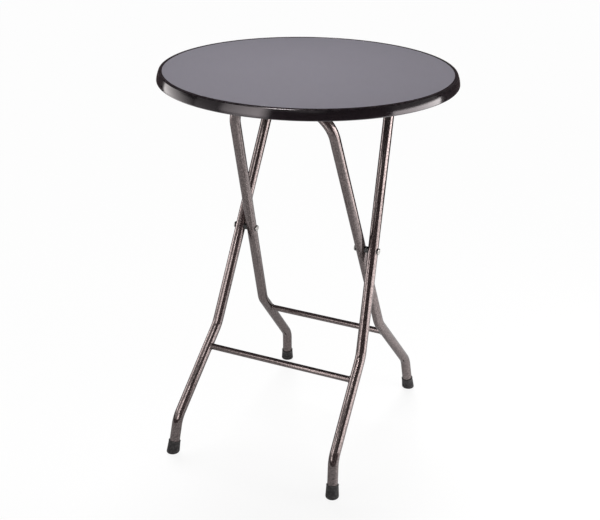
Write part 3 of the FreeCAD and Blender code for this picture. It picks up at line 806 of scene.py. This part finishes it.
# Each panel has one edge from start to end and goes on by rise. Along and up give the share of its radiance
# at the two ends of each direction, and soft the share of each direction that fades at either end.
SOFTBOX_COLOUR = (1, 0.96, 0.945, 1)
EVEN = (1, 1)
SOFTBOXES = (
    {"name": "left_upper", "start": (-1.2, 0.02, 0.84), "end": (-1.2, -0.9, 0.84), "rise": (0, 0, 0.48),
     "radiance": 3.9, "along": (1, 0.02), "up": (1.25, 0.75), "soft": (0.05, 0.2)},
    {"name": "left_lower", "start": (-1.2, 0.1, 0.25), "end": (-1.2, -0.8, 0.25), "rise": (0, 0, 0.55),
     "radiance": 4.4, "along": (1, 0.7), "up": (0.1, 1.5), "soft": (0.05, 0.12)},
    {"name": "left_fill", "start": (-1.15, -0.85, 0.2), "end": (-0.3, -0.8, 0.2), "rise": (0, 0, 1.35),
     "radiance": 1.0, "along": (1.1, 0.6), "up": (1.5, 0.3), "soft": (0.1, 0.1)},
    {"name": "front_foot", "start": (-0.28, -0.8, 0.2), "end": (0.12, -0.8, 0.2), "rise": (0, 0, 0.23),
     "radiance": 4, "up": (0.8, 1), "soft": (0.2, 0.15)},
    {"name": "front_low", "start": (-0.55, -0.8, 0.45), "end": (0.03, -0.8, 0.45), "rise": (0, 0, 0.36),
     "radiance": 4.2, "along": (0.5, 1), "soft": (0.2, 0.12), "lights": True},
    {"name": "front_glint", "start": (-0.3, -0.8, 0.78), "end": (-0.18, -0.8, 0.78), "rise": (0, 0, 0.08),
     "radiance": 14, "soft": (0.2, 0.2)},
    {"name": "front_high", "start": (-0.44, -0.8, 1.01), "end": (0.08, -0.8, 1.01), "rise": (0, 0, 0.37),
     "radiance": 5, "along": (0.25, 1), "up": (1.1, 0.9), "soft": (0.18, 0.18)},
    {"name": "front_top", "start": (-1.1, -1.45, 1.6), "end": (1.0, -1.45, 1.6), "rise": (0, 0.45, 0.05),
     "radiance": 0.5, "soft": (0.15, 0.25)},
    {"name": "right_upper", "start": (0.95, -0.25, 0.72), "end": (0.95, 0.56, 0.72), "rise": (0, 0, 0.44),
     "radiance": 9, "along": (0.66, 1), "up": (0.52, 1), "soft": (0.02, 0.1)},
    {"name": "right_lower", "start": (1.4, 0.12, 0.03), "end": (1.4, 1.4, 0.03), "rise": (0, -0.84, 0.77),
     "radiance": 4.2, "along": (0.8, 1), "soft": (0.06, 0.01), "lights": True},
    {"name": "right_fill", "start": (0.95, -0.3, 1.1), "end": (0.95, 0.5, 1.1), "rise": (0, 0, 0.35),
     "radiance": 0.6, "along": (0.6, 1), "up": (1, 0.6), "soft": (0.1, 0.2)},
    {"name": "top", "start": (-0.26, -1.2, 2.05), "end": (0.36, -1.2, 2.05), "rise": (0, 0.3, 0.1),
     "radiance": 40, "soft": (0.3, 0.1)},
)


def floor_material():
    """Matte floor that glows near white for the camera and in reflections, with a painted pool of light at the
    back right that only reflections show.
    """
    material, tree = empty_material("floor")
    camera_ray, mirrored = kinds_of_ray(tree)
    spot = add(tree, "ShaderNodeSeparateXYZ", Vector=add(tree, "ShaderNodeNewGeometry").outputs["Position"])
    back = math_node(tree, "ADD", spot.outputs["Y"], FLOOR_MIRRORED_FRONT)
    back_right = math_node(tree, "MINIMUM", spot.outputs["X"], back)
    # Painted pool of light: in reflections the floor glows brighter towards the back right
    paler = spread(tree, back_right, FLOOR_MIRRORED_REACH, FLOOR_MIRRORED)
    painted_pool_in_mirror = math_node(tree, "MULTIPLY", mirrored, paler)
    strength = math_node(tree, "MAXIMUM", camera_ray, painted_pool_in_mirror)
    seen = math_node(tree, "MAXIMUM", camera_ray, mirrored)
    share = math_node(tree, "MULTIPLY", seen, FLOOR_GLOW)
    matte = add(tree, "ShaderNodeBsdfDiffuse", Color=FLOOR_COLOUR)
    glow = add(tree, "ShaderNodeEmission", Color=WHITE, Strength=strength)
    blend = add(tree, "ShaderNodeMixShader")
    for socket, source in zip(blend.inputs, (share, matte.outputs[0], glow.outputs[0])):
        tree.links.new(source, socket)
    add(tree, "ShaderNodeOutputMaterial", Surface=blend.outputs[0])
    return material


def build_floor():
    """Pale floor that stays near white in view and in reflections, and keeps the shadow."""
    mesh = bpy.data.meshes.new("floor")
    corners = [(x * FLOOR_HALF_WIDTH, y * FLOOR_HALF_WIDTH, 0) for x, y in SQUARE]
    mesh.from_pydata(corners, [], [(0, 1, 2, 3)])
    mesh.materials.append(floor_material())
    floor = add_object("floor", mesh)


def build_surround():
    """Dark wall and ceiling of the studio that only show in reflections."""
    made = bmesh.new()
    rings = []
    for height in (0, SURROUND_HEIGHT):
        ring = []
        for angle in angles(SURROUND_SIDES):
            out = SURROUND_RADIUS * Vector((math.cos(angle), math.sin(angle)))
            ring.append(made.verts.new((out.x, out.y, height)))
        rings.append(ring)
    join_rings(made, rings)
    made.faces.new(rings[1])
    mesh = mesh_of(made, "surround")
    mesh.materials.append(new_material("surround", Base_Color=SURROUND_COLOUR, Roughness=1.0)[0])
    wall = add_object("surround", mesh)
    wall.visible_camera = False
    wall.visible_diffuse = False
    wall.visible_shadow = False


def build_world():
    """Room that is white to look at and lights the table dimly."""
    world = bpy.data.worlds.new("studio")
    bpy.context.scene.world = world
    world.use_nodes = True
    tree = world.node_tree
    background = tree.nodes["Background"]
    seen = math_node(tree, "MAXIMUM", *kinds_of_ray(tree))
    tree.links.new(spread(tree, seen, (0, 1), (WORLD_LIGHT, 1)), background.inputs["Strength"])
    background.inputs["Color"].default_value = WHITE


def place_light(data, place, target):
    """Put a light, which isn't seen itself, in its place and point it at a target."""
    light = add_object(data.name, data)
    light.visible_camera = False
    light.visible_glossy = False
    light.location = place
    light.rotation_euler = (Vector(target) - Vector(place)).to_track_quat("-Z", "Y").to_euler()


def build_lights():
    """Soft overhead light from behind, and small lamps that don't show in reflections."""
    sun = bpy.data.lights.new("overhead", "SUN")
    sun.energy = SUN_STRENGTH
    sun.angle = SUN_ANGLE
    place_light(sun, SUN_FROM, (0, 0, 0))
    for entry in LAMPS:
        lamp = bpy.data.lights.new(entry["name"], "AREA")
        lamp.energy = entry["power"]
        lamp.size = entry["size"]
        place_light(lamp, entry["place"], entry["target"])


def falloff(tree, radiance, along, up, soft):
    """Strength over a softbox, from its middle to its soft edges."""
    middle = 0.5
    spot = add(tree, "ShaderNodeTexCoord").outputs["UV"]
    steps = add(tree, "ShaderNodeSeparateXYZ", Vector=spot).outputs
    strength = radiance
    for axis, shares, fading in zip("XY", (along, up), soft):
        share = spread(tree, steps[axis], (0, 1), shares)
        off_middle = math_node(tree, "ABSOLUTE", math_node(tree, "SUBTRACT", steps[axis], middle))
        edge = spread(tree, off_middle, (middle - fading, middle), (1, 0))
        strength = math_node(tree, "MULTIPLY", math_node(tree, "MULTIPLY", share, edge), strength)
    return strength


def build_softbox(name, start, end, rise, radiance, soft, along=EVEN, up=EVEN, lights=False):
    """Glowing panel that shows only in reflections, and lights the table too where it is asked to."""
    start, end, rise = Vector(start), Vector(end), Vector(rise)
    mesh = bpy.data.meshes.new(name)
    mesh.from_pydata([start, end, end + rise, start + rise], [], [(0, 1, 2, 3)])
    corners = mesh.uv_layers.new(name="panel").data
    for corner, spot in zip(corners, ((0, 0), (1, 0), (1, 1), (0, 1))):
        corner.uv = spot
    material, tree = empty_material(name)
    strength = falloff(tree, radiance, along, up, soft)
    glow = add(tree, "ShaderNodeEmission", Color=SOFTBOX_COLOUR, Strength=strength)
    add(tree, "ShaderNodeOutputMaterial", Surface=glow.outputs[0])
    mesh.materials.append(material)
    panel = add_object(name, mesh)
    panel.visible_camera = False
    panel.visible_shadow = False
    panel.visible_diffuse = lights


def build_camera():
    """Camera at the photograph's place and angle."""
    data = bpy.data.cameras.new("camera")
    data.lens = CAMERA_LENS
    data.sensor_width = CAMERA_SENSOR
    camera = add_object("camera", data)
    turn = Matrix.Rotation(CAMERA_YAW, 4, "Z") @ Matrix.Rotation(math.pi / 2 - CAMERA_PITCH, 4, "X")
    camera.matrix_world = Matrix.Translation(CAMERA_PLACE) @ turn @ Matrix.Rotation(CAMERA_ROLL, 4, "Z")
    bpy.context.scene.camera = camera


dress_nodes()
build_rim()
for frame_name in FRAMES:
    build_tube(frame_name)
    build_crossbar(frame_name)
    for side in SIDES:
        build_foot(frame_name, side)
for screws in ("hinge_screws", "catch_screws"):
    build_screws(screws)
build_floor()
build_surround()
build_world()
build_lights()
for softbox in SOFTBOXES:
    build_softbox(**softbox)
build_camera()
bpy.context.scene.view_settings.view_transform = "Standard"
